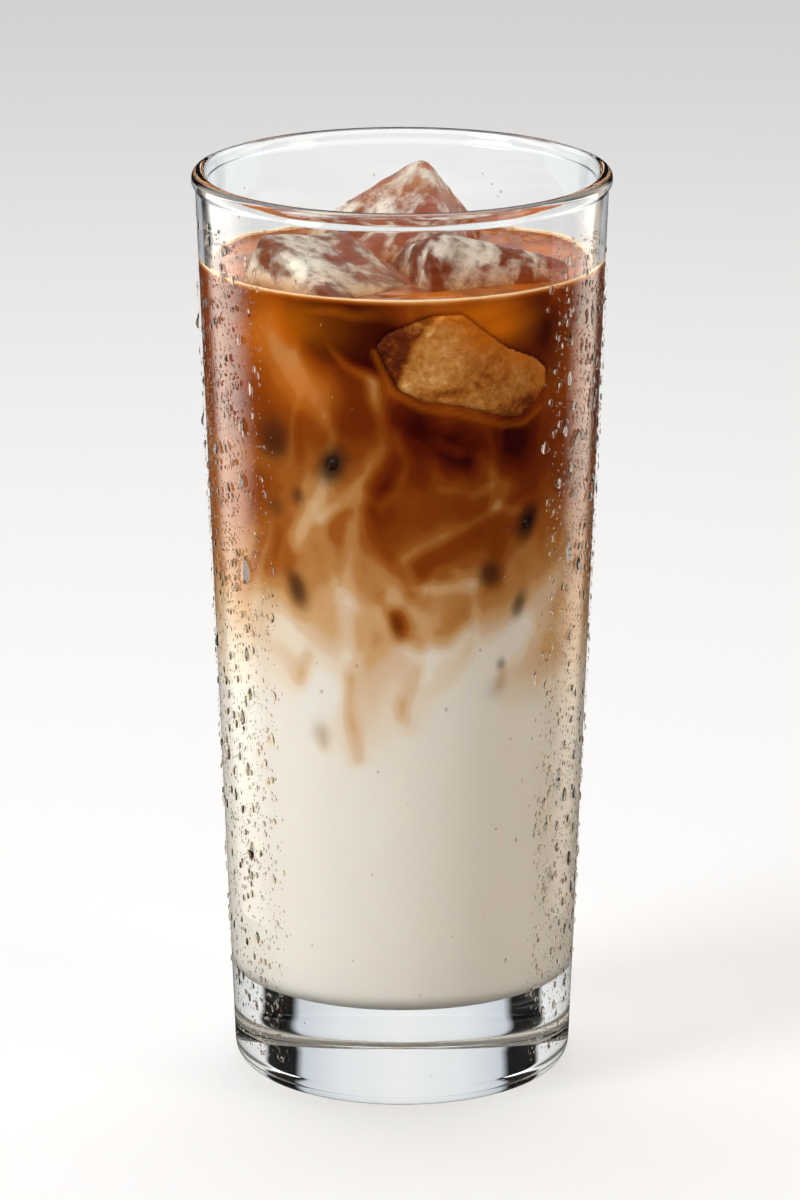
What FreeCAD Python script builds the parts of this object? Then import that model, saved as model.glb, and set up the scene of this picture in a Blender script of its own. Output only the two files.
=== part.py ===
"""Iced latte in a tall heavy-based highball glass, with three ice cubes floating in it.

Row frame: millimetres, +Z up, origin at the centre of the foot, -Y towards the front.
The glass is one turned body. The drink fills it in three layers that meet at wavy
interfaces: milk, a marbled layer of milk and coffee, and coffee. The drink is cut
round the ice.
"""

import math
import os

import FreeCAD
import Part
from FreeCAD import Placement, Rotation, Vector

# ---- glass ---------------------------------------------------------------
glass_height = 160.0
foot_radius = 29.2           # outside of the wall where the heel begins
shoulder_radius = 35.1       # outside of the wall where the taper ends
shoulder_drop = 22.0         # the taper ends this far below the top of the rim
neck_flare = 0.3             # the wall leans out by this much from there to the rim
wall = 2.0
bead_stand_out = 0.6         # the rim bead stands this far out of the wall
bead_height = 2.1            # from the top of the rim down to the widest part
bead_run_out = 0.6           # height over which the bead blends into the wall
bead_blend = 0.4             # fillet above and below the run-out
rim_round = 1.15             # fillet of both top edges of the rim
base_thickness = 18.0        # glass between the drink and the table, at the wall
heel_round = 4.2             # outer corner at the foot
floor_round = 3.0            # inner corner at the floor of the cavity
floor_dish = 0.6             # the cavity floor is this much lower at its centre
foot_ring_width = 8.2        # the glass stands on a ring this far in from the wall
punt_depth = 1.6             # hollow under the foot, inside the ring
punt_run = 3.2               # width of the slope between the ring and the hollow

# ---- drink ---------------------------------------------------------------
head_space = 15.8            # from the drink up to the top of the rim
meniscus_height = 0.9        # how far the drink climbs the wall
meniscus_width = 1.7
milk_share = 0.452           # mean height of the milk, as a share of the drink's depth
milk_swell = 8.0             # the milk top rises and falls by this much at the wall
coffee_share = 0.713         # mean height of the underside of the coffee, likewise
coffee_swell = 5.0
ripple = 1.2                 # small waves on both interfaces
ripple_pitch = 6.5           # length of a wave, divided by 2 pi
interface_margin = 2.5       # the interfaces are modelled this far beyond the wall
interface_points = 15        # interpolation points along each side

# ---- ice -----------------------------------------------------------------
ice_round = 1.6              # melted edges
ice_draft = 0.4              # each side leans in by this much, as a tray's pocket does
ice_draught = 29.0           # the lowest corner is this far below the drink's surface
ice_layout_radius = 32.1     # inside radius, at that depth, that the layout below fits

# name: (size along its own x, y, z), centre from the middle of the drink's surface,
#       (yaw, pitch, roll) in degrees
ice_cubes = {
    "ice_left": ((19.6, 22.8, 20.8), (-14.2, -14.9, -6.9), (42, 6, -67)),
    "ice_right": ((23.6, 22.6, 27.6), (10.8, -10.7, -10.5), (15.5, 16.5, -21)),
    "ice_back": ((26.0, 23.2, 21.4), (0.3, 16.9, -6.3), (-7.5, -32.5, -63)),
}

# ---- worked out from the values above ---------------------------------------
shoulder_height = glass_height - shoulder_drop
neck_radius = shoulder_radius + neck_flare
bead_radius = neck_radius + bead_stand_out
foot_ring_inner = foot_radius - foot_ring_width
drink_level = glass_height - head_space
drink_depth = drink_level - base_thickness
milk_level = base_thickness + milk_share * drink_depth
coffee_level = base_thickness + coffee_share * drink_depth


def rounded_outline(corners):
    """Edges of a closed outline in the XZ plane: (x, z, fillet radius) per corner."""
    count = len(corners)
    starts, ends, arcs = [], [], []
    for i, (x, z, radius) in enumerate(corners):
        corner = Vector(x, 0, z)
        before = Vector(corners[i - 1][0], 0, corners[i - 1][1]) - corner
        after = Vector(corners[(i + 1) % count][0], 0, corners[(i + 1) % count][1]) - corner
        before.normalize()
        after.normalize()
        if radius == 0:
            starts.append(corner)
            ends.append(corner)
            arcs.append(None)
            continue
        half = before.getAngle(after) / 2
        reach = radius / math.tan(half)
        middle = (before + after).normalize() * (radius / math.sin(half) - radius)
        starts.append(corner + before * reach)
        ends.append(corner + after * reach)
        arcs.append(Part.Arc(starts[-1], corner + middle, ends[-1]).toShape())
    edges = []
    for i in range(count):
        if arcs[i] is not None:
            edges.append(arcs[i])
        following = starts[(i + 1) % count]
        if (following - ends[i]).Length > 1e-6:
            edges.append(Part.LineSegment(ends[i], following).toShape())
    return edges


def turned(corners):
    """Solid of revolution about Z of a closed outline."""
    face = Part.Face(Part.Wire(rounded_outline(corners)))
    solid = face.revolve(Vector(0, 0, 0), Vector(0, 0, 1), 360)
    return solid.Solids[0] if solid.Solids else Part.Solid(solid.Shells[0])


def outer_radius(z):
    """Outside of the wall at height z, below the bead."""
    if z <= shoulder_height:
        share = z / shoulder_height
        return foot_radius + (shoulder_radius - foot_radius) * share
    share = (z - shoulder_height) / (glass_height - shoulder_height)
    return shoulder_radius + (neck_radius - shoulder_radius) * share


def inner_radius(z):
    return outer_radius(z) - wall


def make_glass():
    bead_top = glass_height - bead_height
    bead_bottom = bead_top - bead_run_out
    return turned([
        (0, punt_depth, 0),
        (foot_ring_inner - punt_run, punt_depth, punt_depth),
        (foot_ring_inner, 0, punt_depth),
        (outer_radius(0), 0, heel_round),
        (shoulder_radius, shoulder_height, 0),
        (outer_radius(bead_bottom), bead_bottom, bead_blend),
        (bead_radius, bead_top, bead_blend),
        (bead_radius, glass_height, rim_round),
        (inner_radius(glass_height), glass_height, rim_round),
        (inner_radius(shoulder_height), shoulder_height, 0),
        (inner_radius(base_thickness), base_thickness, floor_round),
        (0, base_thickness - floor_dish, 0),
    ])


def make_fill():
    """Everything inside the glass up to the drink's level, with its meniscus."""
    top = drink_level + meniscus_height
    return turned([
        (0, base_thickness - floor_dish, 0),
        (inner_radius(base_thickness), base_thickness, floor_round),
        (inner_radius(shoulder_height), shoulder_height, 0),
        (inner_radius(top), top, 0),
        (inner_radius(top) - meniscus_width, drink_level, meniscus_width),
        (0, drink_level, 0),
    ])


def interface_height(x, y, level, swell, phase):
    """Height of an interface: three lobes round the wall, plus small ripples."""
    size = inner_radius(level)
    lobes = (3 * x * x * y - y ** 3) / size ** 3
    waves = math.sin(x / ripple_pitch + phase) * math.cos(y / ripple_pitch - phase)
    return level + swell * lobes + ripple * waves


def below_interface(level, swell, phase):
    """All the space under a wavy interface, out past the wall."""
    half = inner_radius(drink_level) + interface_margin
    ticks = [half * (2 * i / (interface_points - 1) - 1) for i in range(interface_points)]
    grid = [[Vector(x, y, interface_height(x, y, level, swell, phase)) for y in ticks]
            for x in ticks]
    sheet = Part.BSplineSurface()
    sheet.interpolate(grid)
    return sheet.toShape().extrude(Vector(0, 0, -glass_height))


def make_ice(size, centre, turn):
    """One melted cube, tapered like the pocket of a tray and turned as it floats."""
    fit = inner_radius(drink_level - ice_draught) / ice_layout_radius
    length, width, height = (side * fit for side in size)
    block = Part.makeWedge(
        -length / 2, -width / 2, -height / 2, -height / 2 + ice_draft, -length / 2 + ice_draft,
        length / 2, width / 2, height / 2, height / 2 - ice_draft, length / 2 - ice_draft,
    )
    melted = block.makeFillet(ice_round, block.Edges)
    place = Vector(*centre) * fit + Vector(0, 0, drink_level)
    melted.Placement = Placement(place, Rotation(*turn))
    return melted


def make_drink(ice):
    """Milk, marbled layer and coffee, cut round the ice, which share their interfaces exactly."""
    fill = make_fill()
    for cube in ice:
        fill = fill.cut(cube)
    under_milk_top = below_interface(milk_level, -milk_swell, 0.4)
    under_coffee = below_interface(coffee_level, coffee_swell, 1.7)
    return {
        "milk": fill.common(under_milk_top),
        "marbled_milk": fill.common(under_coffee).cut(under_milk_top),
        "coffee": fill.cut(under_coffee),
    }


def main():
    os.makedirs("parts", exist_ok=True)
    cubes = {name: make_ice(*values) for name, values in ice_cubes.items()}
    nodes = {"glass": make_glass(), **make_drink(cubes.values()), **cubes}
    for name, shape in nodes.items():
        largest = max(shape.Solids, key=lambda solid: solid.Volume)
        largest.exportStep(f"parts/{name}.step")
        print(f"{name}: {largest.Volume / 1000:.2f} ml, solids {len(shape.Solids)}, "
              f"valid {largest.isValid()}")


main()
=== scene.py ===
# An iced latte in a tall highball glass: the glass, the drink, three floating cubes,
# sunk cubes, bubbles along the waterline and condensation on the outside of the glass.
import math
import random

import bmesh
import bpy
import numpy as np
from mathutils import Matrix, Vector, noise
from mathutils.bvhtree import BVHTree


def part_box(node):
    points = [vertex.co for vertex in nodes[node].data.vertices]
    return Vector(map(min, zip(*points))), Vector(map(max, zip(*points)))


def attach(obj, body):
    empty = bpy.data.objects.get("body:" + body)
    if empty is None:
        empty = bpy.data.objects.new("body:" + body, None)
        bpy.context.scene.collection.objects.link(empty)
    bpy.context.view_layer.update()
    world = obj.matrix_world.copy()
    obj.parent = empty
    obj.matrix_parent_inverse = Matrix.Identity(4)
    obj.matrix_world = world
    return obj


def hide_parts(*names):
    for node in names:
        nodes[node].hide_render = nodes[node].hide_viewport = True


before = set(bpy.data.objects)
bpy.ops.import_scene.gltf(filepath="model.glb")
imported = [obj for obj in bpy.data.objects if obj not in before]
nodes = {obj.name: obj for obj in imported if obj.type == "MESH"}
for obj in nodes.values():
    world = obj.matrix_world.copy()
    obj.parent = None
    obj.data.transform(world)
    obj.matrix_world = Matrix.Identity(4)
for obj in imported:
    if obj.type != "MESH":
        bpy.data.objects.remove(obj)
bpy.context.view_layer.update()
scene = bpy.context.scene
mm = 0.001
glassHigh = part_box("glass")[1]


def linear(hexColour):
    # sRGB hex to the linear colour that shaders take
    channels = [int(hexColour[i:i + 2], 16) / 255 for i in (1, 3, 5)]
    return tuple(c / 12.92 if c <= 0.04045 else ((c + 0.055) / 1.055) ** 2.4 for c in channels) + (1.0,)


def smoothStep(low, high, value):
    t = np.clip((value - low) / (high - low), 0, 1)
    return t * t * (3 - 2 * t)


def addNode(material, kind, settings=None, inputs=None):
    # one node, its properties and its sockets, which hold a value or take another node's output
    node = material.node_tree.nodes.new("ShaderNode" + kind)
    for key, value in (settings or {}).items():
        setattr(node, key, value)
    for key, given in (inputs or {}).items():
        if isinstance(given, bpy.types.NodeSocket):
            material.node_tree.links.new(given, node.inputs[key])
        else:
            node.inputs[key].default_value = given
    return node


def newMaterial(name):
    material = bpy.data.materials.new(name)
    material.use_nodes = True
    material.node_tree.nodes.clear()
    return material


def finishMaterial(material, shader):
    output = addNode(material, "OutputMaterial")
    material.node_tree.links.new(shader, output.inputs["Surface"])
    return material


def setRamp(node, stops):
    ramp = node.color_ramp
    while len(ramp.elements) > 1:
        ramp.elements.remove(ramp.elements[-1])
    ramp.elements[0].position, ramp.elements[0].color = stops[0][0], linear(stops[0][1])
    for position, colour in stops[1:]:
        ramp.elements.new(position).color = linear(colour)


def toObject(bm, name, material, smooth=True):
    mesh = bpy.data.meshes.new(name)
    for face in bm.faces:
        face.smooth = smooth
    bm.to_mesh(mesh)
    bm.free()
    piece = bpy.data.objects.new(name, mesh)
    scene.collection.objects.link(piece)
    if material:
        mesh.materials.append(material)
    return piece


def onWall(azimuth, height, radius):
    # azimuth in degrees from the front, positive to the right
    angle = math.radians(azimuth)
    return Vector((radius * math.sin(angle), -radius * math.cos(angle), height))


# the glass's outline in mm, which everything else follows
glassSizes = {
    "footRadius": 29.2, "shoulderRadius": 35.1, "shoulderHeight": 138.0, "neckRadius": 35.4,
    "wall": 2.0, "beadHeight": 2.1, "beadRunOut": 0.6, "beadBlend": 0.4, "rimRound": 1.13,
    "baseThickness": 18.0, "heelRound": 4.2, "floorRound": 3.0, "floorDish": 0.6,
    "footRingInner": 21.0, "puntDepth": 1.6, "puntRun": 3.2, "puntRound": 1.0,
    "steps": 256,               # divisions round the glass
    "longestRun": 3.0,          # the outline is divided at least this finely
}


def outerRadius(z):
    g = glassSizes
    if z < g["shoulderHeight"]:
        share = z / g["shoulderHeight"]
        return g["footRadius"] + (g["shoulderRadius"] - g["footRadius"]) * share
    share = (z - g["shoulderHeight"]) / (glassHigh.z / mm - g["shoulderHeight"])
    return g["shoulderRadius"] + (g["neckRadius"] - g["shoulderRadius"]) * share


def innerRadius(z):
    return outerRadius(z) - glassSizes["wall"]


def roundedProfile(corners, longestRun):
    # an outline in mm from corners (x, z, rounding): rounded, divided, then read off in order
    bm = bmesh.new()
    chain = [bm.verts.new((x, 0, z)) for x, z, _ in corners]
    for a, b in zip(chain, chain[1:]):
        bm.edges.new((a, b))
    for vert, (_, _, rounding) in zip(chain, corners):
        if rounding:
            bmesh.ops.bevel(bm, geom=[vert], offset=rounding, offset_type="OFFSET", segments=8,
                            profile=0.5, affect="VERTICES", material=-1)
    for edge in list(bm.edges):
        cuts = math.ceil(edge.calc_length() / longestRun) - 1
        if cuts > 0:
            bmesh.ops.subdivide_edges(bm, edges=[edge], cuts=cuts)
    ends = [vert for vert in bm.verts if len(vert.link_edges) == 1]
    here = min(ends, key=lambda vert: (Vector(vert.co) - Vector((corners[0][0], 0, corners[0][1]))).length)
    outline, last = [], None
    while here:
        outline.append((here.co.x, here.co.z))
        ahead = [edge for edge in here.link_edges if edge is not last]
        last = ahead[0] if ahead else None
        here = last.other_vert(here) if last else None
    bm.free()
    return outline


def revolve(outline, angles):
    # a fine grid carried round the axis: along the outline one way, round the glass the other
    bm = bmesh.new()
    bmesh.ops.create_grid(bm, x_segments=len(outline) - 1, y_segments=len(angles) - 1, size=0.5)
    for vert in bm.verts:
        x, z = outline[round((vert.co.x + 0.5) * (len(outline) - 1))]
        angle = angles[round((vert.co.y + 0.5) * (len(angles) - 1))]
        vert.co = Vector((x * math.sin(angle), -x * math.cos(angle), z)) * mm
    bmesh.ops.remove_doubles(bm, verts=bm.verts[:], dist=1e-7)
    bmesh.ops.recalc_face_normals(bm, faces=bm.faces[:])
    return bm


def wallPlace(azimuth, height):
    # a place on the unrolled wall, in mm
    return np.array([math.radians(azimuth) * innerRadius(height), height])


def nearLine(points, line):
    # distance in mm from each point on the unrolled wall to a line of places
    places = [wallPlace(a, z) for a, z in line]
    best = np.full(len(points), 1e9)
    for a, b in zip(places, places[1:]):
        along = b - a
        t = np.clip(((points - a) @ along) / max(along @ along, 1e-9), 0, 1)
        best = np.minimum(best, np.linalg.norm(points - a - t[:, None] * along, axis=1))
    return best


def attribute(material, name):
    return addNode(material, "Attribute", {"attribute_name": name}).outputs["Fac"]


def objectPlace(material):
    return addNode(material, "TexCoord").outputs["Object"]


def noiseTexture(material, place, size, detail, roughness=0.5, distortion=0.0):
    # noise of a size in mm
    return addNode(material, "TexNoise", inputs={
        "Scale": 1 / (size * mm), "Detail": detail, "Roughness": roughness, "Distortion": distortion,
        "Vector": place}).outputs["Fac"]


def softRange(material, value, fromMin, fromMax, toMin=0.0, toMax=1.0):
    return addNode(material, "MapRange", {"interpolation_type": "SMOOTHSTEP"}, {
        "Value": value, "From Min": fromMin, "From Max": fromMax, "To Min": toMin, "To Max": toMax,
    }).outputs["Result"]


def calculate(material, operation, *given):
    return addNode(material, "Math", {"operation": operation}, dict(enumerate(given))).outputs[0]


def blend(material, factor, start, end):
    return addNode(material, "Mix", {"data_type": "RGBA"}, {
        "Factor": factor, "A": start, "B": end}).outputs["Result"]


def principled(material, inputs):
    return addNode(material, "BsdfPrincipled", inputs=inputs).outputs[0]


def mixShader(material, factor, start, end):
    return addNode(material, "MixShader", inputs={0: factor, 1: start, 2: end}).outputs[0]


def lampsPass(material, shader, tint):
    # rays from lamps pass straight through clear pieces, as they do on average in the real thing
    path = addNode(material, "LightPath")
    clear = addNode(material, "BsdfTransparent", inputs={"Color": linear(tint)})
    return mixShader(material, path.outputs["Is Shadow Ray"], shader, clear.outputs[0])


refraction = {"glass": 1.5, "water": 1.333, "ice": 1.31}


def clearGlass():
    # soda-lime glass, pressed and fire polished: clear, colourless, with a hard bright gloss
    material = newMaterial("clearSodaLimeGlassPolished")
    shader = principled(material, {
        "Base Color": linear("#fbfdfc"), "Roughness": 0.0, "IOR": refraction["glass"],
        "Transmission Weight": 1.0})
    return finishMaterial(material, lampsPass(material, shader, "#f6f8f7"))


waterLook = {"bent": "#fff3e2", "glintHeldBack": 0.55}


def clearWater():
    # condensed water: clear and as smooth as a surface can be
    material = newMaterial("condensedWaterClear")
    shader = principled(material, {
        "Base Color": linear("#ffffff"), "Roughness": 0.0, "IOR": refraction["water"],
        "Transmission Weight": 1.0})
    bend = addNode(material, "BsdfRefraction", inputs={
        "Color": linear(waterLook["bent"]), "Roughness": 0.0, "IOR": refraction["water"]})
    # the studio cards stand nearer than the lamps they stand for, so their glint is held back
    soft = mixShader(material, waterLook["glintHeldBack"], shader, bend.outputs[0])
    return finishMaterial(material, lampsPass(material, soft, "#fbfbfb"))


drinkColours = {
    # from milk to strong coffee, by how much coffee is in the mix
    "mix": [(0.0, "#f3ebe0"), (0.10, "#eedfc9"), (0.20, "#e4c8a6"), (0.32, "#d9ad79"),
            (0.44, "#c58b4c"), (0.56, "#ab6120"), (0.68, "#92440a"), (0.80, "#7c2e04"),
            (0.90, "#611b02"), (1.0, "#3e0500")],
    "paintedAmberGlow": "#e27808",        # painted glow: thin coffee with light behind it
    "shade": "#2b1710",        # where a sunk cube swallows the light
    "grain": 1.6,              # mm, the finest marbling
    "wander": 0.09,            # how far that marbling strays from the mix
    "scatterMm": 1.2, "rippleMm": 6,
}


def milkCoffee():
    # milk and cold-brewed coffee: opaque, softly scattering, with no gloss against the glass
    c = drinkColours
    material = newMaterial("milkAndCoffeeMarbledLiquid")
    fine = noiseTexture(material, objectPlace(material), c["grain"] * 3, 3.0, 0.5, 1.2)
    wander = calculate(material, "MULTIPLY_ADD", fine, c["wander"], -c["wander"] / 2)
    vary = calculate(material, "MULTIPLY_ADD", wander, attribute(material, "marble"),
                     attribute(material, "coffee"))
    ramp = addNode(material, "ValToRGB", inputs={"Fac": vary})
    ramp.color_ramp.interpolation = "EASE"
    setRamp(ramp, c["mix"])
    glow = blend(material, attribute(material, "paintedAmberGlow"), ramp.outputs["Color"], linear(c["paintedAmberGlow"]))
    dim = blend(material, attribute(material, "shade"), glow, linear(c["shade"]))
    return finishMaterial(material, principled(material, {
        "Base Color": dim, "Roughness": 0.35, "IOR": refraction["water"], "Specular IOR Level": 0.0,
        "Subsurface Weight": 0.35, "Subsurface Radius": (1.0, 0.62, 0.32),
        "Subsurface Scale": c["scatterMm"] * mm}))


def drinkTop():
    # the free surface of the same drink: wet and glossy, faintly rippled
    material = milkCoffee()
    material.name = "milkAndCoffeeWetSurface"
    ripples = noiseTexture(material, objectPlace(material), drinkColours["rippleMm"], 2.0)
    bump = addNode(material, "Bump", inputs={"Strength": 0.5, "Distance": 0.8 * mm, "Height": ripples})
    for node in material.node_tree.nodes:
        if node.type == "BSDF_PRINCIPLED":
            node.inputs["Specular IOR Level"].default_value = 0.22
            node.inputs["Roughness"].default_value = 0.05
            material.node_tree.links.new(bump.outputs[0], node.inputs["Normal"])
    return material


iceLook = {
    "cloud": "#fff4e0", "stain": "#c9935a", "deep": "#451503", "pale": "#e6a859",
    "sunkDark": "#7e3305", "sunkPale": "#c57a2b", "sunkPaintedAmberGlow": "#d9740a", "speck": "#ffe2a6",
    "clear": "#dda75e", "glint": "#a9713c", "lampTint": "#eee4d8",
    "crackMm": 1.6, "dentMm": 2.6, "cloudMm": 6.5, "speckMm": 0.42, "streakMm": 2.0,
}


def meltingIce(level):
    # tray ice: clear at the rims, clouded and crazed inside; below the waterline it is
    # backed by the drink and looks like amber crackled glass, with painted shade, a painted highlight and
    # painted amber glow on the face against the wall
    c = iceLook
    material = newMaterial("trayIceMeltingClouded")
    place = objectPlace(material)
    dents = noiseTexture(material, place, c["dentMm"], 5.0, 0.62)
    cracks = addNode(material, "TexVoronoi", {"feature": "SMOOTH_F1"}, {
        "Scale": 1 / (c["crackMm"] * mm), "Randomness": 1.0, "Smoothness": 0.25, "Vector": place})
    clouds = noiseTexture(material, place, c["cloudMm"], 3.0, 0.55, 0.3)
    fine = noiseTexture(material, place, c["speckMm"] * 4, 6.0, 0.8, 0.25)
    grain = calculate(material, "MULTIPLY_ADD", fine, 0.30, clouds)
    cloudSoft = softRange(material, grain, 0.56, 0.80, 0.0, 0.92)
    pits = softRange(material, fine, 0.60, 0.66, 1.0, 0.25)
    cloudMask = calculate(material, "MULTIPLY", cloudSoft, pits)
    relief = calculate(material, "MULTIPLY_ADD", cracks.outputs["Distance"], 0.35, dents)
    pitted = calculate(material, "MULTIPLY_ADD", fine, 0.55, relief)
    bump = addNode(material, "Bump", inputs={
        "Strength": 0.75, "Distance": 0.9 * mm, "Height": pitted}).outputs[0]
    height = addNode(material, "SeparateXYZ", inputs={"Vector": place}).outputs["Z"]
    wet = softRange(material, height, level + 5 * mm, level - 1 * mm)
    cloudColour = blend(material, wet, linear(c["cloud"]), linear(c["stain"]))
    streaks = noiseTexture(material, place, c["streakMm"], 8.0, 0.78, 0.2)
    rough = calculate(material, "MULTIPLY_ADD", streaks, 1.5, -0.75)
    # the ramp's dark stops carry the painted shade of the cube's left face
    sunkRamp = addNode(material, "ValToRGB", inputs={
        "Fac": calculate(material, "ADD", attribute(material, "paintedShadeHighlightAndTone"), rough)})
    setRamp(sunkRamp, [(0.0, c["deep"]), (0.25, c["sunkDark"]), (0.55, c["sunkPale"]), (0.82, c["pale"]),
                       (1.0, c["speck"])])
    # painted amber glow laid over the window face's colour
    sunkColour = blend(material, attribute(material, "paintedAmberGlow"), sunkRamp.outputs["Color"],
                       linear(c["sunkPaintedAmberGlow"]))
    window = attribute(material, "window")
    colour = blend(material, window, cloudColour, sunkColour)
    # edges stay clear, as thin ice does
    ridge = softRange(material, addNode(material, "NewGeometry").outputs["Pointiness"],
                      0.535, 0.60, 1.0, 0.12)
    clear = principled(material, {
        "Base Color": linear(c["clear"]), "Roughness": 0.02, "IOR": refraction["ice"],
        "Specular Tint": linear(c["glint"]), "Transmission Weight": 1.0, "Normal": bump})
    cloudy = principled(material, {
        "Base Color": colour, "Roughness": 0.15, "IOR": refraction["ice"], "Specular IOR Level": 0.2,
        "Subsurface Weight": 0.2, "Subsurface Radius": (1.0, 0.8, 0.6), "Subsurface Scale": 0.8 * mm,
        "Normal": bump})
    cloudInside = calculate(material, "MULTIPLY", cloudMask, ridge)
    amount = addNode(material, "Math", {"operation": "MAXIMUM", "use_clamp": True}, {
        0: window, 1: cloudInside})
    return finishMaterial(material, mixShader(
        material, amount.outputs[0], lampsPass(material, clear, c["lampTint"]), cloudy))


def sunkIcePaintedShade():
    # ice deep in the drink, painted dark for the shade it lies in, with a wet glint where it touches the
    # wall
    material = newMaterial("trayIceSunkPaintedShade")
    veins = noiseTexture(material, objectPlace(material), 1.3, 4.0, 0.7)
    ramp = addNode(material, "ValToRGB", inputs={"Fac": veins})
    setRamp(ramp, [(0.35, "#170a06"), (0.55, "#2c1209"), (0.68, "#6b4430")])
    return finishMaterial(material, principled(material, {
        "Base Color": ramp.outputs["Color"], "Roughness": 0.2, "IOR": refraction["ice"],
        "Specular IOR Level": 0.3}))


def plainStage(name, colour, roughness, glow):
    # plain matt paint; the glow evens it out for the camera and lights nothing
    material = newMaterial(name)
    path = addNode(material, "LightPath")
    power = calculate(material, "MULTIPLY", path.outputs["Is Camera Ray"], glow)
    return finishMaterial(material, principled(material, {
        "Base Color": linear(colour), "Roughness": roughness, "Specular IOR Level": 0.0,
        "Emission Color": linear(colour), "Emission Strength": power}))


glassMaterial = clearGlass()
waterMaterial = clearWater()
print("materials made")


def makeGlass():
    g = glassSizes
    top = glassHigh.z / mm
    beadRadius = glassHigh.x / mm
    beadTop = top - g["beadHeight"]
    beadBottom = beadTop - g["beadRunOut"]
    floor = g["baseThickness"]
    outline = roundedProfile([
        (0, g["puntDepth"], 0),
        (g["footRingInner"] - g["puntRun"], g["puntDepth"], g["puntRound"]),
        (g["footRingInner"], 0, g["puntRound"]),
        (outerRadius(0), 0, g["heelRound"]),
        (outerRadius(beadBottom), beadBottom, g["beadBlend"]),
        (beadRadius, beadTop, g["beadBlend"]),
        (beadRadius, top, g["rimRound"]),
        (innerRadius(top), top, g["rimRound"]),
        (innerRadius(floor), floor, g["floorRound"]),
        (0, floor - g["floorDish"], 0),
    ], g["longestRun"])
    bm = revolve(outline, np.linspace(-math.pi, math.pi, g["steps"] + 1))
    piece = toObject(bm, "highballGlass", glassMaterial)
    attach(piece, "root")
    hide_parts("glass")
    return piece


glassPiece = makeGlass()
print("glass made", len(glassPiece.data.polygons))


# sizes of the drink and of the melting, in mm
drinkSizes = {
    "level": 144.2, "meniscusHeight": 0.9, "meniscusWidth": 1.7,
    "intoWall": 0.15,           # the drink reaches this far into the glass, so no air shows
    "frontSteps": 190, "backSteps": 110, "rowHeight": 0.62,
    "dent": 1.4,                # the drink keeps this far behind ice that shows at the wall
}
level = drinkSizes["level"] * mm

iceMelt = {
    "voxel": 0.45, "dentDepth": 0.35, "dentSize": 9.0, "pitDepth": 0.14, "pitSize": 2.0,
    "clearance": 0.6, "windowClearance": 0.3,   # from the wall
}

iceMaterial = meltingIce(level)


def meltMesh(mesh, seed, voxel, dentDepth, pitDepth):
    # remeshes a block of ice finely, then lets it melt unevenly
    holder = bpy.data.objects.new("iceHolder", mesh)
    scene.collection.objects.link(holder)
    remesh = holder.modifiers.new("remesh", "REMESH")
    remesh.mode = "VOXEL"
    remesh.voxel_size = voxel * mm
    bpy.context.view_layer.update()
    solid = bpy.data.meshes.new_from_object(holder.evaluated_get(bpy.context.evaluated_depsgraph_get()))
    bpy.data.objects.remove(holder)
    bm = bmesh.new()
    bm.from_mesh(solid)
    bpy.data.meshes.remove(solid)
    bmesh.ops.smooth_vert(bm, verts=bm.verts[:], factor=0.5, use_axis_x=True, use_axis_y=True,
                          use_axis_z=True)
    bm.normal_update()
    shift = Vector((seed * 31.7, seed * 17.3, seed * 5.9))
    moves = []
    for vert in bm.verts:
        place = vert.co / mm
        dent = noise.noise(place / iceMelt["dentSize"] + shift)
        pit = noise.turbulence(place / iceMelt["pitSize"] + shift, 3, False) - 0.4
        moves.append(vert.normal * (dent * dentDepth - abs(dent) * 0.2 * dentDepth
                                    + pit * pitDepth) * mm)
    for vert, move in zip(bm.verts, moves):
        vert.co += move
    return bm


def keepInside(bm, clearance):
    # nothing of a cube stands further out than the wall lets it
    for vert in bm.verts:
        radius = math.hypot(vert.co.x, vert.co.y)
        limit = (innerRadius(vert.co.z / mm) - clearance) * mm
        if radius > limit:
            vert.co.x *= limit / radius
            vert.co.y *= limit / radius


def insideOutline(points, outline):
    # distance in mm inside a closed outline on the unrolled wall, negative outside it
    places = [wallPlace(a, z) for a, z in outline]
    inside = np.zeros(len(points), bool)
    for a, b in zip(places, places[1:] + places[:1]):
        between = (a[1] > points[:, 1]) != (b[1] > points[:, 1])
        rise = b[1] - a[1] if abs(b[1] - a[1]) > 1e-9 else 1e-9
        crossing = a[0] + (points[:, 1] - a[1]) * (b[0] - a[0]) / rise
        inside ^= between & (points[:, 0] < crossing)
    away = nearLine(points, outline + outline[:1])
    return np.where(inside, away, -away)


def unrolled(co):
    # places in mm as (distance round the wall, height)
    around = np.arctan2(co[:, 0], -co[:, 1])
    return np.stack([around * np.array([innerRadius(z) for z in co[:, 2]]), co[:, 2]], axis=1)


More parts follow.
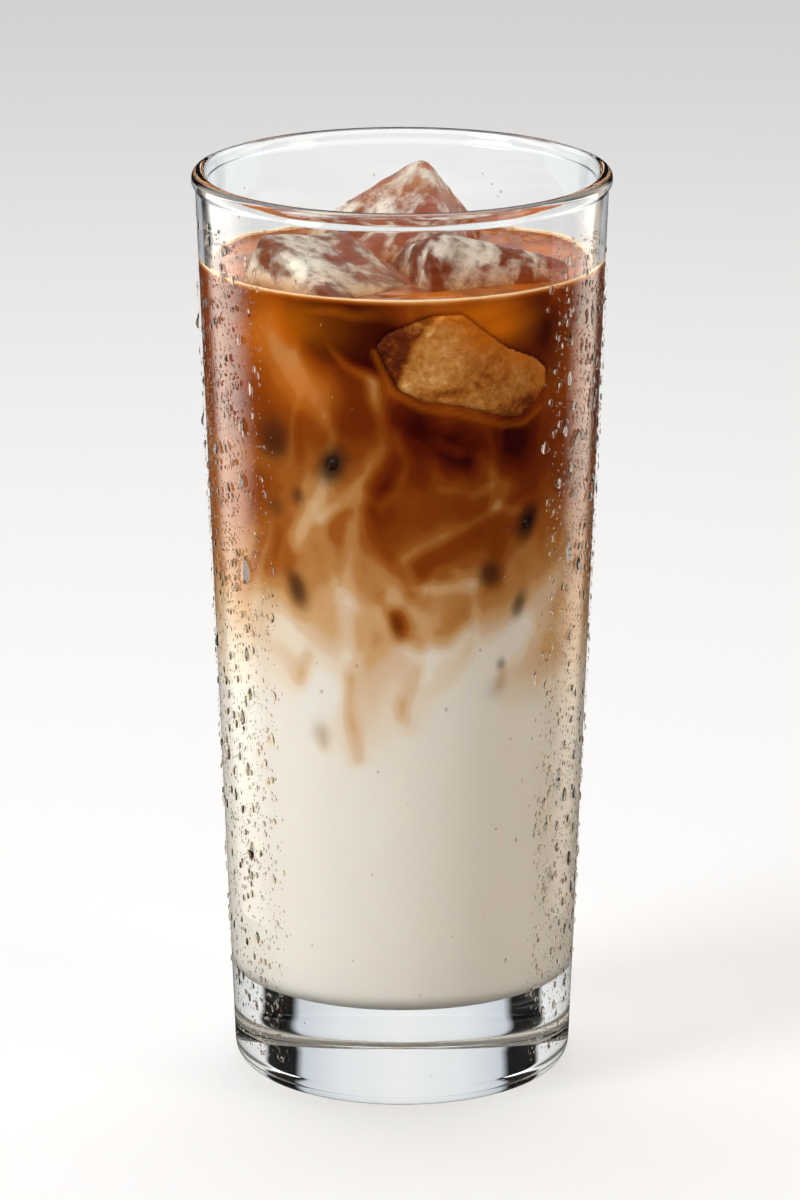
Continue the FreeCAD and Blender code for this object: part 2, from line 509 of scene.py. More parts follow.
def addWindow(bm, window):
    # the cube's outer face has settled against the wall there and melted to fit it: a thin
    # shell that lies against the wall inside the outline and falls away into the cube
    patch = bmesh.new()
    bmesh.ops.create_grid(patch, x_segments=104, y_segments=46, size=0.5)
    west, east, low, high = window["reach"]
    for vert in patch.verts:
        azimuth = west + (east - west) * (vert.co.x + 0.5)
        z = low + (high - low) * (vert.co.y + 0.5)
        vert.co = onWall(azimuth, z, innerRadius(z) + window["intoWall"])
    co = np.array([vert.co for vert in patch.verts])
    depth = insideOutline(unrolled(co), window["outline"])
    for vert, inside in zip(patch.verts, depth):
        inset = float(smoothStep(0.7, -1.6, inside)) * window["falls"]
        vert.co -= Vector((vert.co.x, vert.co.y, 0)).normalized() * inset
    outside = [vert for vert, inside in zip(patch.verts, depth) if inside < -2.0]
    bmesh.ops.delete(patch, geom=outside, context="VERTS")
    bmesh.ops.solidify(patch, geom=patch.faces[:], thickness=1.2)
    bmesh.ops.recalc_face_normals(patch, faces=patch.faces[:])
    bmesh.ops.scale(patch, vec=(mm, mm, mm), verts=patch.verts[:])
    mesh = bpy.data.meshes.new("windowPatch")
    patch.to_mesh(mesh)
    patch.free()
    bm.from_mesh(mesh)
    bpy.data.meshes.remove(mesh)


def placesOf(mesh):
    # the places of a mesh's vertices in mm
    co = np.empty(len(mesh.vertices) * 3, np.float32)
    mesh.vertices.foreach_get("co", co)
    return co.reshape(-1, 3) / mm


def writeAttributes(mesh, values):
    for name, data in values.items():
        written = mesh.attributes.new(name, "FLOAT", "POINT")
        written.data.foreach_set("value", data.astype(np.float32))


def spot(points, azimuth, z, wide, tall):
    # a soft spot on the unrolled wall, 1 at its middle
    d = (points - wallPlace(azimuth, z)) / (wide, tall)
    return np.exp(-(d ** 2).sum(1))


def paintWindowLightAndTone(mesh, window):
    # how light the sunk face is: painted shade on the cube's left face, pale on its front face, with a
    # painted highlight along the fold between them
    co = placesOf(mesh)
    points = unrolled(co)
    radius = np.hypot(co[:, 0], co[:, 1])
    wall = np.array([innerRadius(z) for z in co[:, 2]])
    inside = smoothStep(-2.0, -0.8, insideOutline(points, window["outline"]))
    seen = smoothStep(-3.0, -0.8, radius - wall) * inside
    fold = np.array([wallPlace(a, z) for a, z in window["fold"]])
    fromFold = points[:, 0] - np.interp(points[:, 1], fold[::-1, 1], fold[::-1, 0])
    paintedShadeHighlightAndTone = np.full(len(co), 0.60)
    # painted shade on the cube's left face
    paintedShadeHighlightAndTone -= 0.42 * smoothStep(0.9, -0.9, fromFold)
    # a painted highlight along the fold
    paintedShadeHighlightAndTone += 0.14 * np.exp(-(fromFold - 0.4) ** 2)
    for azimuth, z, wide, tall, change in window["patches"]:
        paintedShadeHighlightAndTone += change * spot(points, azimuth, z, wide, tall)
    # painted amber glow where light comes through thin coffee
    paintedAmberGlow = np.zeros(len(co))
    for azimuth, z, wide, tall, strength in window["paintedAmberGlow"]:
        paintedAmberGlow = np.maximum(paintedAmberGlow, strength * spot(points, azimuth, z, wide, tall))
    writeAttributes(mesh, {"window": seen, "paintedShadeHighlightAndTone": paintedShadeHighlightAndTone, "paintedAmberGlow": paintedAmberGlow})


# The right-hand cube shows through the front wall. Places are azimuth in degrees and height in mm.
rightWindow = {
    "outline": [(-8, 137), (-5, 139.5), (8, 142.5), (18, 142.5), (24, 139.5), (32, 136), (42, 133.5),
                (47, 131), (47, 128), (42, 124.5), (37, 123), (30, 123.5), (17, 126), (6, 127), (-2, 129.5)],
    "fold": [(12, 143), (8, 140.5), (3, 136.5), (0, 132), (-1, 127)],
    "patches": [(-5, 138, 3, 2, -0.10), (3, 140.8, 3, 1.4, 0.20), (13, 135, 4, 5, 0.16),
                (26, 131, 6, 3, -0.12), (40, 125, 6, 2.8, -0.36), (8, 130.5, 4, 1.6, 0.16),
                (12, 128.8, 3.5, 0.9, -0.34), (26, 127, 6, 1.2, 0.16), (36, 130, 3, 3, 0.08),
                (20, 141, 8, 1.2, -0.20)],
    "paintedAmberGlow": [(27, 138.5, 6.5, 4.2, 1.0), (20, 142, 6, 2.2, 0.9), (37, 134, 5, 3.0, 0.85),
              (46, 130, 3, 4, 0.7), (9, 127.3, 8, 0.7, 0.35)],
    "reach": (-13, 52, 119, 145.5), "intoWall": 0.12, "falls": 4.5,
}


def makeFloatingIce(name, nodeName, seed, swell):
    mesh = nodes[nodeName].data.copy()
    bm = bmesh.new()
    bm.from_mesh(mesh)
    bmesh.ops.remove_doubles(bm, verts=bm.verts[:], dist=1e-6)
    bm.to_mesh(mesh)
    bm.free()
    bm = meltMesh(mesh, seed, iceMelt["voxel"], iceMelt["dentDepth"], iceMelt["pitDepth"])
    for vert in bm.verts:
        vert.co += vert.normal * swell * mm
    if nodeName == "ice_right":
        keepInside(bm, iceMelt["windowClearance"])
        addWindow(bm, rightWindow)
    else:
        keepInside(bm, iceMelt["clearance"])
    bm.normal_update()
    piece = toObject(bm, name, iceMaterial)
    if nodeName == "ice_right":
        paintWindowLightAndTone(piece.data, rightWindow)
    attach(piece, "root")
    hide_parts(nodeName)
    return piece


floating = [
    makeFloatingIce("iceCubeLeft", "ice_left", 1, 0.4),
    makeFloatingIce("iceCubeRight", "ice_right", 2, 0.8),
    makeFloatingIce("iceCubeBack", "ice_back", 3, 0.8),
]
print("floating ice made", [len(piece.data.polygons) for piece in floating])

# Sunk cubes: size in mm, where a corner meets the wall (azimuth, height), how far it is pressed
# flat against it (or, if negative, how far behind it stays), and the turn about that line.
sunkCubes = [
    {"size": 21, "touch": (-42, 119), "press": -0.2, "turn": 20},
    {"size": 19, "touch": (-21, 116), "press": 0.30, "turn": 75},
    {"size": 22, "touch": (28, 96), "press": -0.4, "turn": 40},
    {"size": 20, "touch": (41, 104), "press": 0.30, "turn": 10},
    {"size": 20, "touch": (-34, 93), "press": -0.2, "turn": 55},
    {"size": 18, "touch": (39, 90), "press": -0.1, "turn": 80},
    {"size": 21, "touch": (100, 112), "press": 0.6, "turn": 30},
    {"size": 20, "touch": (138, 98), "press": 0.4, "turn": 65},
    {"size": 22, "touch": (-96, 101), "press": 0.5, "turn": 15},
    {"size": 20, "touch": (-150, 110), "press": 0.6, "turn": 50},
    {"size": 19, "touch": (178, 84), "press": 0.3, "turn": 35},
    {"size": 19, "touch": (-120, 86), "press": 0.2, "turn": 5},
]


def makeSunkIce():
    merged = bmesh.new()
    for index, cube in enumerate(sunkCubes):
        bm = bmesh.new()
        bmesh.ops.create_cube(bm, size=cube["size"] * mm)
        bmesh.ops.bevel(bm, geom=bm.edges[:], offset=1.6 * mm, offset_type="OFFSET", segments=3,
                        profile=0.5, affect="EDGES", material=-1)
        azimuth, height = cube["touch"]
        corner = Vector((1, 1, 1)).normalized()
        outward = onWall(azimuth, 0, 1)
        turn = Matrix.Rotation(math.radians(cube["turn"]), 4, outward)
        aim = corner.rotation_difference(outward).to_matrix().to_4x4()
        bmesh.ops.transform(bm, matrix=turn @ aim, verts=bm.verts[:])
        reach = max(vert.co.dot(outward) for vert in bm.verts)
        centre = onWall(azimuth, height * mm, (innerRadius(height) + cube["press"]) * mm - reach)
        bmesh.ops.translate(bm, vec=centre, verts=bm.verts[:])
        mesh = bpy.data.meshes.new("sunkCube")
        bm.to_mesh(mesh)
        bm.free()
        melted = meltMesh(mesh, 10 + index, voxel=0.8, dentDepth=0.5, pitDepth=0.1)
        keepInside(melted, -0.1)
        melted.to_mesh(mesh)
        melted.free()
        merged.from_mesh(mesh)
        bpy.data.meshes.remove(mesh)
    piece = toObject(merged, "iceCubesSunk", sunkIcePaintedShade())
    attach(piece, "root")
    return piece


sunkIce = makeSunkIce()
print("sunk ice made", len(sunkIce.data.polygons))


# Where coffee and milk lie against the wall. A line of places (azimuth, height) in degrees and
# mm, half its width in mm, and how much coffee it adds (or, if negative, milk).
strokes = [
    ([(-31, 140.5), (-20, 140.5), (-4, 141.5)], 2.8, 0.24),   # dark coffee below the waterline
    ([(-22, 140.5), (-14, 138), (-11, 136)], 3.8, 0.62),
    ([(-43, 138), (-34, 133), (-28, 127)], 4.2, -0.26),    # light over the left-hand cube
    ([(-24, 138), (-15, 132.6), (-8, 131.5)], 0.7, -0.20),
    ([(-12, 133), (-9, 130)], 2.0, -0.16),
    ([(-30, 123), (-17, 123)], 4.0, 0.10),
    ([(-3, 124.5), (8, 121.5), (20, 119.5), (38, 119), (50, 121)], 3.4, 0.17),
    ([(41, 141), (46, 136), (49, 128)], 3.0, 0.20),
    ([(9, 115), (30, 113), (42, 109)], 5.0, 0.10),
    ([(13, 117), (19, 117)], 1.6, 0.12),
    ([(11, 119.5), (24, 117.5), (30, 113), (22, 111), (10, 112.5), (8, 116)], 0.7, -0.10),
    ([(-10, 131), (-6, 125), (-6, 119.5), (-10, 114), (-17, 110), (-25, 107)], 0.9, -0.18),
    ([(-13, 109), (-16, 103), (-18, 96), (-19, 90), (-18, 82)], 1.0, -0.15),
    ([(-35, 101), (-25, 94)], 5.0, -0.12),
    ([(-8, 99), (-8, 92)], 4.0, -0.03),
    ([(-24, 124), (-21, 120.5), (-24, 112), (-31, 106), (-33, 101)], 0.8, -0.14),
    ([(-2, 117), (-4, 112), (-9, 109)], 1.3, 0.12),
    ([(-11, 110.5), (-6, 109), (-1, 111), (1, 116), (-1, 122)], 0.8, -0.14),
    ([(0, 109), (8, 111), (18, 113)], 1.8, -0.10),
    ([(-4, 108.5), (-4, 102)], 3.2, 0.15),
    ([(25, 107), (15, 101.5), (5, 97)], 3.0, 0.16),
    ([(29, 108), (12, 104), (1, 100), (4, 95), (12, 93.5), (22, 94)], 0.8, -0.15),
    ([(33, 112), (30, 108), (36, 106)], 0.8, -0.14),
    ([(55, 92), (48, 88), (36, 84), (28, 81), (22, 75)], 3.0, -0.22),
    ([(-8, 94), (-1, 88), (5, 85), (14, 86), (19, 89)], 1.2, 0.14),
    ([(-9, 91), (-2, 85.5), (6, 82.5), (15, 83), (20, 86)], 0.9, -0.12),
    ([(-5, 93.5), (1, 91), (6, 88.5), (9, 84), (8, 79)], 0.8, -0.10),
    ([(-4, 98), (4, 92), (2, 86)], 5.0, -0.10),
    ([(-17, 78), (-15, 70), (-14, 64)], 0.8, 0.16),
    ([(-12, 84), (-10, 76), (-12, 71)], 4.0, 0.12),
    ([(-48, 104), (-38, 98), (-33, 89)], 3.0, 0.08),
    ([(-47, 90), (-33, 84), (-25, 77)], 3.0, -0.14),
    ([(-31, 80), (-34, 76.5)], 1.0, 0.14),
    ([(-3, 90), (-1, 86)], 1.0, 0.18),
    ([(1, 74), (3, 70)], 1.0, 0.10),
    ([(6, 82), (3, 76), (1, 72)], 0.8, 0.10),
    ([(31.5, 79.5), (30.5, 76)], 0.8, 0.18),
    ([(-25.5, 68.5), (-25, 66.5)], 0.7, 0.14),
]

# Painted shade where a sunk cube comes close: azimuth, height, half width and height, lean, depth
marks = [
    (-42, 119, 3.4, 4.0, 10, 0.72), (-21, 116, 2.8, 3.6, -25, 0.95), (-33, 110, 1.5, 1.6, 0, 0.62),
    (-42, 107, 2.2, 2.0, 0, 0.42), (41, 104, 2.3, 3.6, -25, 0.95), (28, 96, 2.6, 2.5, 0, 0.78),
    (-34, 93, 1.8, 3.6, 20, 0.80), (39, 90, 1.5, 2.7, -25, 0.72), (-2, 88, 0.9, 2.6, 15, 0.40),
    (32, 80, 1.0, 1.2, 0, 0.55), (31, 76, 2.2, 2.6, -15, 0.18), (-26, 68, 2.0, 2.4, 15, 0.22),
    (100, 112, 2.8, 3.4, 20, 0.85), (138, 98, 2.6, 3.0, -15, 0.8), (-96, 101, 2.4, 3.2, 10, 0.85),
    (-150, 110, 2.6, 2.8, 0, 0.8), (178, 84, 1.8, 2.8, -10, 0.65), (-120, 86, 1.6, 2.8, 15, 0.65),
]

# Painted amber glow, for light in thin coffee: azimuth, height, half width and height in mm, strength
paintedAmberGlowPlaces = [
    (29, 139.5, 5.5, 3.2, 0.90), (36, 139, 3.5, 4, 0.35), (24, 142, 7, 2.4, 0.75),
    (-34, 139.5, 8, 5.0, 0.50), (-48, 136, 5, 7, 0.40), (-32, 129, 6, 5, 0.42), (56, 128, 5, 8, 0.25),
    (-26, 142.5, 12, 1.2, 0.35), (110, 138, 14, 6, 0.5), (-110, 137, 14, 7, 0.5), (170, 136, 18, 7, 0.5),
]

# painted glow: the thin bright edge of coffee under the right-hand cube's window
paintedAmberGlowLines = [
    ([(-8, 136), (-3, 129), (6, 126.2), (17, 125), (30, 122.4), (38, 122.0), (45, 124.2)], 0.55, 0.34),
    ([(-24, 138.5), (-17, 133.5), (-12, 132)], 0.6, 0.25),
]

marbling = {
    "milkTop": 75.0, "coffeeFoot": 112.0, "leftLift": 8.0, "warp": 3.6, "warpSize": 13.0,
    "swirlSize": 9.0, "swirl": 0.09, "wispSize": 8.5, "wisp": 0.07, "paleLine": 0.45,
}


def noiseAt(places, size, shift, stretch=1.0):
    # smooth noise at each place, longer up and down by the stretch
    values = []
    for x, y, z in places:
        values.append(noise.noise(Vector((x / size + shift, y / size, z / (size * stretch)))))
    return np.array(values)


def colourDrink(mesh):
    # how much coffee, painted amber glow and painted shade there is at each point of the drink
    co = placesOf(mesh)
    warpX = noiseAt(co, marbling["warpSize"], 3.1, 1.5)
    warpZ = noiseAt(co, marbling["warpSize"], 47.7, 1.2)
    warpX += 0.45 * noiseAt(co, marbling["warpSize"] / 2.4, 81.3, 1.5)
    warpZ += 0.45 * noiseAt(co, marbling["warpSize"] / 2.4, 23.9, 1.2)
    azimuth = np.arctan2(co[:, 0], -co[:, 1])
    radius = np.hypot(co[:, 0], co[:, 1])
    height = co[:, 2]
    points = np.stack([azimuth * radius, height], axis=1)
    warped = points + np.stack([warpX, warpZ], axis=1) * marbling["warp"] * 0.45
    swirlPlace = co + np.stack([warpX, -warpX, warpZ], axis=1) * marbling["warp"] * 1.6
    swirl = noiseAt(swirlPlace, marbling["swirlSize"], 11.3, 1.7)
    wisp = 1 - np.abs(noiseAt(swirlPlace, marbling["wispSize"], 61.9, 2.4)) * 2
    lift = marbling["leftLift"] * smoothStep(-0.05, -0.5, azimuth) * smoothStep(-2.6, -1.6, azimuth)
    wave = 4.5 * np.sin(azimuth * 2 + 0.6) + 5.0 * warpZ
    low = marbling["milkTop"] - 11 + lift + wave
    blend = (height - low) / (marbling["coffeeFoot"] + lift * 1.3 + wave - low)
    share = 0.02 + 0.50 * smoothStep(0.0, 0.62, blend) + 0.20 * smoothStep(0.55, 1.15, blend)
    share += 0.06 * smoothStep(120, 140, height)
    mixed = smoothStep(0.06, 0.4, blend)
    share += mixed * (swirl * marbling["swirl"] * 2)
    share -= mixed * smoothStep(0.4, 1.0, wisp) * marbling["wisp"]
    onSide = smoothStep(-3.0, -1.2, radius - np.array([innerRadius(z) for z in height]))
    for line, width, amount in strokes:
        share += onSide * amount * np.exp(-(nearLine(warped, line) / (width + 0.35)) ** 2 * 0.8)
    # a thin paler line along the waterline at the wall
    rim = smoothStep(marbling["paleLine"] + 0.25, marbling["paleLine"],
                     drinkSizes["level"] + drinkSizes["meniscusHeight"] - height) * onSide
    paintedAmberGlow = np.zeros(len(co))
    for place, z, width, tall, strength in paintedAmberGlowPlaces:
        paintedAmberGlow = np.maximum(paintedAmberGlow, strength * spot(warped, place, z, width, tall))
    for line, width, strength in paintedAmberGlowLines:
        paintedAmberGlow = np.maximum(paintedAmberGlow, strength * np.exp(-(nearLine(points, line) / width) ** 2))
    top = smoothStep(drinkSizes["level"] - 0.4, drinkSizes["level"] - 0.2, height) * (1 - onSide)
    pocket = smoothStep(-0.3, -1.5, height - drinkSizes["level"]) * (1 - onSide)
    pocket = pocket * smoothStep(110, 118, height)
    # painted amber glow also on the free surface and, fainter, in the pockets under the floating cubes
    paintedAmberGlow = paintedAmberGlow * onSide + top * 0.6 * smoothStep(-0.2, 0.5, swirl) + pocket * 0.3
    share -= top * 0.06
    share += pocket * (0.5 - share)
    shade = np.zeros(len(co))
    for place, z, width, tall, lean, depth in marks:
        d = points + np.stack([warpX, warpZ], axis=1) * 0.7 - wallPlace(place, z)
        c, s = math.cos(math.radians(lean)), math.sin(math.radians(lean))
        across, up = d[:, 0] * c + d[:, 1] * s, -d[:, 0] * s + d[:, 1] * c
        shade = np.maximum(shade, depth * np.exp(-((across / width) ** 2 + (up / tall) ** 2) ** 1.6 * 1.1))
    shade *= onSide
    share = np.clip(share, 0, 1) * (1 - rim) + 0.16 * rim
    writeAttributes(mesh, {"coffee": share, "paintedAmberGlow": np.clip(paintedAmberGlow * (1 - rim), 0, 1), "shade": shade,
                           "marble": mixed})


def iceTree(pieces):
    # one search tree over several pieces of ice
    bm = bmesh.new()
    for piece in pieces:
        bm.from_mesh(piece.data)
    tree = BVHTree.FromBMesh(bm)
    bm.free()
    return tree


def makeDrink():
    d = drinkSizes
    g = glassSizes
    floor = g["baseThickness"]
    top = d["level"] + d["meniscusHeight"]
    into = d["intoWall"]
    outline = roundedProfile([
        (0, floor - g["floorDish"] - into, 0),
        (innerRadius(floor) + into, floor - into, g["floorRound"]),
        (innerRadius(g["shoulderHeight"]) + into, g["shoulderHeight"], 0),
        (innerRadius(top) + into, top, 0),
        (innerRadius(top) - 0.12, top - 0.08, 0),
        (innerRadius(top) - 0.5, top - 0.62, 0.3),
        (innerRadius(top) - d["meniscusWidth"], d["level"], 0.5),
        (0, d["level"], 0),
    ], d["rowHeight"])
    front = np.linspace(-math.pi / 2, math.pi / 2, d["frontSteps"] + 1)
    back = np.linspace(math.pi / 2, math.pi * 1.5, d["backSteps"] + 1)
    bm = revolve(outline, np.concatenate([front, back[1:]]))
    tree = iceTree(floating)
    sunkTree = iceTree([sunkIce])
    for vert in bm.verts:
        x, y, z = vert.co
        radius = math.hypot(x, y)
        wallRadius = innerRadius(z / mm) * mm
        if radius > wallRadius - 0.02 * mm and z > floor * mm + 4 * mm:
            # ice that shows at the wall stands in a dent in the drink
            outward = Vector((x, y, 0)).normalized()
            far = outward * 0.06 + Vector((0, 0, z))
            depth = 99.0
            for search in (tree, sunkTree):
                hit = search.ray_cast(far, -outward, 0.06)
                if hit[0] is not None:
                    depth = min(depth, wallRadius - math.hypot(hit[0].x, hit[0].y))
            pull = 1 - float(smoothStep(0.0, 0.35, depth / mm))
            vert.co -= outward * pull * d["dent"] * mm
        elif radius < wallRadius - d["meniscusWidth"] * mm and z > level - 0.1 * mm:
            # pockets under the floating cubes
            inside = tree.ray_cast(Vector((x, y, z - 0.0001)), Vector((0, 0, 1)), 0.03)
            if inside[0] is not None and inside[1].z > 0:
                deep = tree.ray_cast(Vector((x, y, z - 0.035)), Vector((0, 0, 1)), 0.035)
                lowest = deep[0].z if deep[0] is not None else z
                vert.co.z = min(z, max(lowest + 0.3 * mm, z - 14 * mm))
    piece = toObject(bm, "drinkBody", milkCoffee())
    piece.data.materials.append(drinkTop())
    for face in piece.data.polygons:
        centre = face.center
        behindWall = math.hypot(centre.x, centre.y) < (innerRadius(centre.z / mm) - 0.02) * mm
        if behindWall and centre.z > level - 15 * mm:
            face.material_index = 1
    colourDrink(piece.data)
    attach(piece, "root")
    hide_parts("milk", "marbled_milk", "coffee")
    return piece


drinkPiece = makeDrink()
print("drink made", len(drinkPiece.data.polygons))


def scatterCopies(name, template, matrices, material):
    # one joined mesh of many copies of a small closed shape
    mesh = bpy.data.meshes.new("template")
    template.to_mesh(mesh)
    template.free()
    base = np.array([v.co for v in mesh.vertices])
    faces = [list(p.vertices) for p in mesh.polygons]
    bpy.data.meshes.remove(mesh)
    verts, polygons = [], []
    for index, matrix in enumerate(matrices):
        m = np.array(matrix)
        verts.append(base @ m[:3, :3].T + m[:3, 3])
        polygons.extend([[v + index * len(base) for v in face] for face in faces])
    joined = bpy.data.meshes.new(name)
    joined.from_pydata(np.concatenate(verts).tolist(), [], polygons)
    joined.shade_smooth()
    joined.materials.append(material)
    piece = bpy.data.objects.new(name, joined)
    scene.collection.objects.link(piece)
    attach(piece, "root")
    return piece


def wallMatrix(azimuth, height, radius, wide, tall, thick):
    # a place on the wall: X across it, Y out of it, Z up
    angle = math.radians(azimuth)
    place = Matrix.Translation(onWall(azimuth, height * mm, radius * mm))
    turn = Matrix.Rotation(angle, 4, "Z")
    size = Matrix.Diagonal((wide * mm, thick * mm, tall * mm, 1))
    return place @ turn @ size


def speckTemplate():
    bm = bmesh.new()
    bmesh.ops.create_icosphere(bm, subdivisions=1, radius=1)
    return bm


def beadTemplate():
    bm = bmesh.new()
    bmesh.ops.create_uvsphere(bm, u_segments=8, v_segments=6, radius=1)
    return bm


def layFlat(bm):
    # a drop on the glass has a flat back, set just into the wall
    for vert in bm.verts:
        vert.co.y = min(vert.co.y, 0.12)
    return bm


def dropTemplate():
    # a running drop: round and heavy below, drawn to a tail above
    bm = bmesh.new()
    bmesh.ops.create_uvsphere(bm, u_segments=16, v_segments=12, radius=1)
    for vert in bm.verts:
        up = max(vert.co.z, 0)
        narrow = 1 - 0.62 * up ** 1.5
        vert.co.x *= narrow
        vert.co.y *= 1 - 0.55 * up
        vert.co.z = vert.co.z * (1.25 if up else 0.85)
    return layFlat(bm)


condensation = {
    "mist": 9200, "mistSize": (0.09, 0.26), "beads": 900, "beadSize": (0.28, 0.62),
    "drops": 64, "dropSize": (0.5, 0.95), "lowest": 6.0, "highest": 153.0, "flatness": 0.5,
}

# the largest drops: azimuth, height, width and height in mm
largeDrops = [
    (-54, 94, 2.4, 4.5), (59, 97, 1.9, 3.8), (-48, 127, 1.4, 2.1), (-53, 120, 1.4, 2.4),
    (-54, 110, 1.4, 2.3),
    (-52, 135, 1.2, 1.6), (59, 138, 1.0, 1.7), (55, 135, 1.0, 2.1), (55, 128, 1.2, 2.4), (58, 123, 1.0, 2.1),
    (54, 119, 1.2, 1.9), (64, 117, 1.0, 1.9), (45, 117, 1.6, 2.1), (58, 112, 1.0, 1.9), (52, 110, 1.2, 1.9),
    (61, 107, 1.0, 1.9), (-55, 79, 1.6, 2.4), (-54, 72, 1.2, 2.1), (-57, 58, 1.2, 2.3), (59, 55, 1.6, 2.3),
    (45, 76, 1.6, 2.4), (-57, 43, 1.4, 3.1), (56, 39, 1.6, 3.1), (53, 48, 1.4, 2.1),
]


def wetness(azimuth, height):
    # the front has been wiped nearly dry; the sides hold most of the condensation
    side = abs(azimuth) - (5 if azimuth > 0 else 0)
    if side < 38:
        return 0.008 + 0.006 * max(side, 0) / 38
    if side < 45:
        return 0.02 + 0.98 * ((side - 38) / 7) ** 2
    if side < 75:
        return 1.0
    return 0.45 if 18 < height < 143 else 0.03


def randomPlaces(count, randomness):
    c = condensation
    places = []
    while len(places) < count:
        azimuth, height = randomness.uniform(-180, 180), randomness.uniform(c["lowest"], c["highest"])
        if randomness.random() < wetness(azimuth, height):
            places.append((azimuth, height))
    return places


def makeCondensation():
    c = condensation
    randomness = random.Random(12)
    mist = []
    for azimuth, height in randomPlaces(c["mist"], randomness):
        size = randomness.uniform(*c["mistSize"]) * randomness.choice((0.8, 1, 1, 1.25))
        tall = size * randomness.uniform(0.9, 1.6)
        mist.append(wallMatrix(azimuth, height, outerRadius(height), size, tall, size * c["flatness"]))
    scatterCopies("condensationMist", layFlat(speckTemplate()), mist, waterMaterial)
    beads = []
    for azimuth, height in randomPlaces(c["beads"], randomness):
        size = randomness.uniform(*c["beadSize"])
        tall = size * randomness.uniform(1.0, 1.5)
        beads.append(wallMatrix(azimuth, height, outerRadius(height), size, tall, size * c["flatness"]))
    scatterCopies("condensationBeads", layFlat(beadTemplate()), beads, waterMaterial)
    drops = [wallMatrix(a, z, outerRadius(z), w * 0.58, h / 1.9, w * 0.42) for a, z, w, h in largeDrops]
    for azimuth, height in randomPlaces(c["drops"], randomness):
        size = randomness.uniform(*c["dropSize"])
        drops.append(wallMatrix(azimuth, height, outerRadius(height), size, size * 1.4, size * 0.6))
    scatterCopies("condensationDrops", dropTemplate(), drops, waterMaterial)


makeCondensation()
print("condensation made")

bubbles = {"ring": 620, "size": (0.12, 0.34), "foam": 160}


def makeBubbles():
    randomness = random.Random(5)
    top = drinkSizes["level"] + drinkSizes["meniscusHeight"]
    inner = innerRadius(drinkSizes["level"])
    places = []
    for _ in range(bubbles["ring"]):
        size = randomness.uniform(*bubbles["size"])
        inward = 0.15 + abs(randomness.gauss(0, 0.5))
        height = top - 0.1 - min(inward, 1.4) * 0.55
        azimuth = randomness.uniform(-180, 180)
        places.append(wallMatrix(azimuth, height, inner - inward, size, size * 0.8, size))
    for _ in range(bubbles["foam"]):
        size = randomness.uniform(*bubbles["size"]) * 0.9
        azimuth = randomness.gauss(128, 14)
        radius = inner - abs(randomness.gauss(0, 4.5)) - 1.8
        places.append(wallMatrix(azimuth, drinkSizes["level"], radius, size, size * 0.8, size))
    scatterCopies("surfaceBubbles", beadTemplate(), places, waterMaterial)


makeBubbles()
print("bubbles made")


def makeFloor():
    bm = bmesh.new()
    bmesh.ops.create_grid(bm, x_segments=1, y_segments=1, size=4)
    paint = plainStage("palePaintedStage", "#f4f3f1", roughness=0.7, glow=0.28)
    floor = toObject(bm, "stageFloor", paint, smooth=False)
    floor.visible_glossy = False        # studio flags keep the floor out of the reflections
    floor.visible_transmission = False  # and the backdrop below is what shows through the glass


def makeCard(name, start, end, radius, low, high, strength, soft, colours, throughGlass):
    # a curved studio card round the glass, seen only in reflections or only through the glass;
    # colours run along it by share of its width
    bm = bmesh.new()
    rows = 40
    foot = onWall(start, low, radius)
    chain = [bm.verts.new(foot + Vector((0, 0, (high - low) * i / rows))) for i in range(rows + 1)]
    for a, b in zip(chain, chain[1:]):
        bm.edges.new((a, b))
    bmesh.ops.spin(bm, geom=bm.verts[:] + bm.edges[:], cent=(0, 0, 0), axis=(0, 0, 1),
                   angle=math.radians(end - start), steps=96)
    bmesh.ops.remove_doubles(bm, verts=bm.verts[:], dist=1e-6)
    lightLayer = bm.verts.layers.float.new("light")
    alongLayer = bm.verts.layers.float.new("along")
    for vert in bm.verts:
        azimuth = math.degrees(math.atan2(vert.co.x, -vert.co.y)) % 360
        t = ((azimuth - start + 0.01) % 360) / (end - start)
        vert[alongLayer] = t
        vert[lightLayer] = 1.0
        if soft:
            # a soft card also fades towards its foot
            fade = 0.3 + 0.7 * smoothStep(0.0, 0.11, vert.co.z)
            vert[lightLayer] = float(fade * smoothStep(0, soft, min(t, 1 - t)))
    material = newMaterial(name + "Glow")
    ramp = addNode(material, "ValToRGB", inputs={"Fac": attribute(material, "along")})
    setRamp(ramp, colours)
    glow = addNode(material, "Emission", inputs={"Strength": strength, "Color": ramp.outputs["Color"]})
    clear = addNode(material, "BsdfTransparent")
    finishMaterial(material, mixShader(
        material, attribute(material, "light"), clear.outputs[0], glow.outputs[0]))
    card = toObject(bm, name, material)
    card.visible_camera = False
    card.visible_diffuse = False
    card.visible_shadow = False
    card.visible_glossy = not throughGlass
    card.visible_transmission = throughGlass


# The backdrop behind the glass: white, with two black flags that give the thick base its
# dark edges. Shares run from 95 to 265 degrees round the glass.
backdropColours = [
    (0.0, "#fafafa"), (0.245, "#fcfcfc"), (0.262, "#0a0a0c"), (0.335, "#08080a"), (0.352, "#d5dae3"),
    (0.42, "#f1f3f6"), (0.50, "#fbfbfb"), (0.58, "#f1f3f6"), (0.648, "#d5dae3"), (0.665, "#08080a"),
    (0.738, "#0a0a0c"), (0.755, "#fcfcfc"), (1.0, "#fafafa"),
]


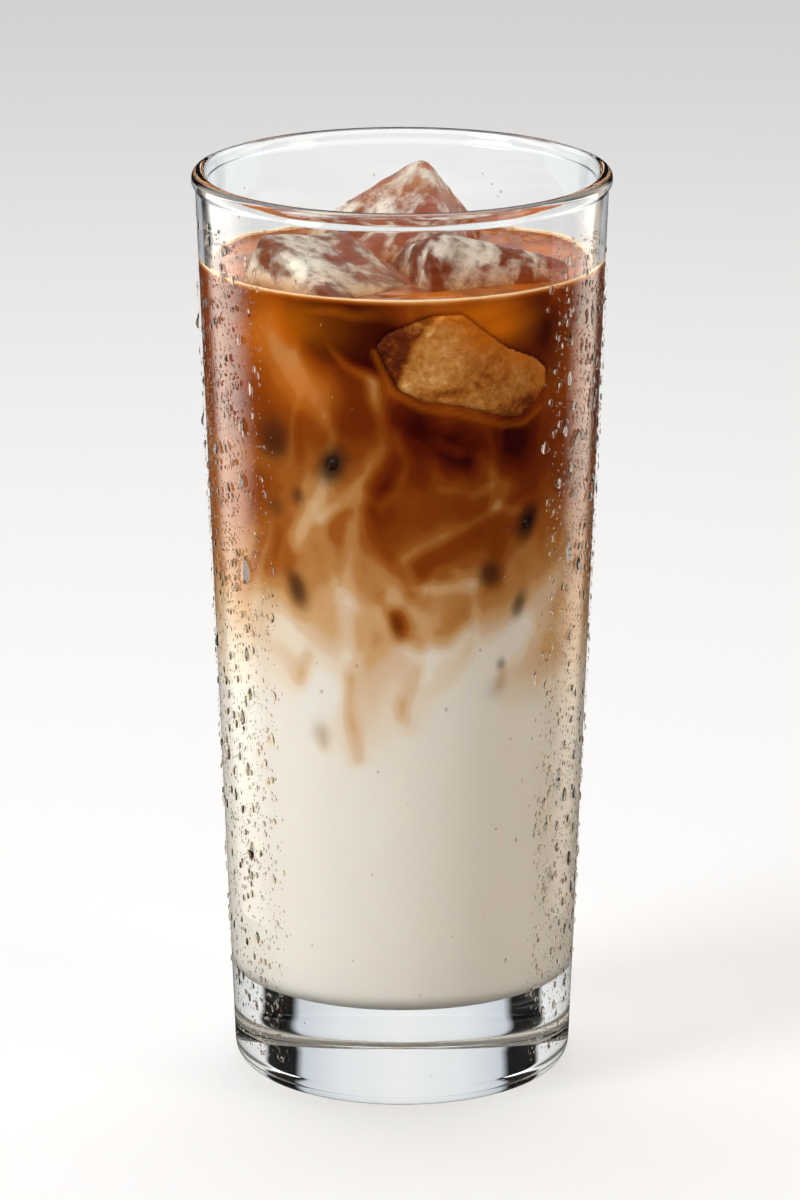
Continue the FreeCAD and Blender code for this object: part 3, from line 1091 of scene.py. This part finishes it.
def makeCards():
    strip = {"radius": 0.10, "low": 0.0, "high": 0.5, "soft": 0.4, "throughGlass": False}
    makeCard("stripLeft", 231, 281, strength=4.2, colours=[(0, "#fff6ea")], **strip)
    makeCard("stripRight", 93, 135, strength=3.2, colours=[(0, "#fff0de")], **strip)
    makeCard("backdrop", 95, 265, radius=0.6, low=-0.5, high=0.5, strength=0.95, soft=0,
             colours=backdropColours, throughGlass=True)


def makeLamp(name, place, target, size, power, colour):
    data = bpy.data.lights.new(name, "AREA")
    data.shape = "RECTANGLE"
    data.size, data.size_y = size
    data.energy = power
    data.color = linear(colour)[:3]
    lamp = bpy.data.objects.new(name, data)
    lamp.location = place
    lamp.rotation_euler = (Vector(target) - Vector(place)).to_track_quat("-Z", "Y").to_euler()
    scene.collection.objects.link(lamp)


def makeLights():
    middle = (0, 0, glassHigh.z / 2)
    makeLamp("keyLeft", (-0.70, -0.45, 0.45), middle, size=(0.35, 0.7), power=4.5, colour="#f6f9ff")
    makeLamp("fillRight", (0.70, -0.35, 0.35), middle, size=(0.25, 0.7), power=1.45, colour="#ffeedd")
    makeLamp("overhead", (0.0, 0.30, 0.85), middle, size=(0.7, 0.5), power=2.5, colour="#ffffff")
    # the room: a dark studio with a bright ceiling in reflections, soft even light otherwise
    world = bpy.data.worlds.new("studioWorld")
    world.use_nodes = True
    background = world.node_tree.nodes["Background"]
    sky = addNode(world, "TexCoord").outputs["Generated"]
    direction = addNode(world, "SeparateXYZ", inputs={0: sky})
    ceiling = addNode(world, "ValToRGB", inputs={"Fac": direction.outputs["Z"]})
    setRamp(ceiling, [(0.0, "#1c1c1e"), (0.32, "#141415"), (0.60, "#ffffff"), (1.0, "#ffffff")])
    brighter = addNode(world, "VectorMath", {"operation": "SCALE"}, {
        "Scale": 2.6, 0: ceiling.outputs["Color"]})
    path = addNode(world, "LightPath")
    mix = blend(world, path.outputs["Is Glossy Ray"], linear("#969698"), brighter.outputs[0])
    world.node_tree.links.new(mix, background.inputs["Color"])
    scene.world = world


cameraView = {"distance": 1.2, "height": 0.4208, "pitch": 15.694, "lens": 215.4, "shiftX": -0.0017}


def makeCamera():
    c = cameraView
    data = bpy.data.cameras.new("camera")
    data.lens = c["lens"]
    data.sensor_fit = "VERTICAL"
    data.sensor_height = 36
    data.sensor_width = 24
    data.shift_x = c["shiftX"]
    data.clip_end = 20
    camera = bpy.data.objects.new("camera", data)
    camera.location = (0, -c["distance"], c["height"])
    camera.rotation_euler = (math.radians(90 - c["pitch"]), 0, 0)
    scene.collection.objects.link(camera)
    scene.camera = camera


makeFloor()
makeCards()
makeLights()
makeCamera()
scene.view_settings.view_transform = "Standard"
print("stage made")
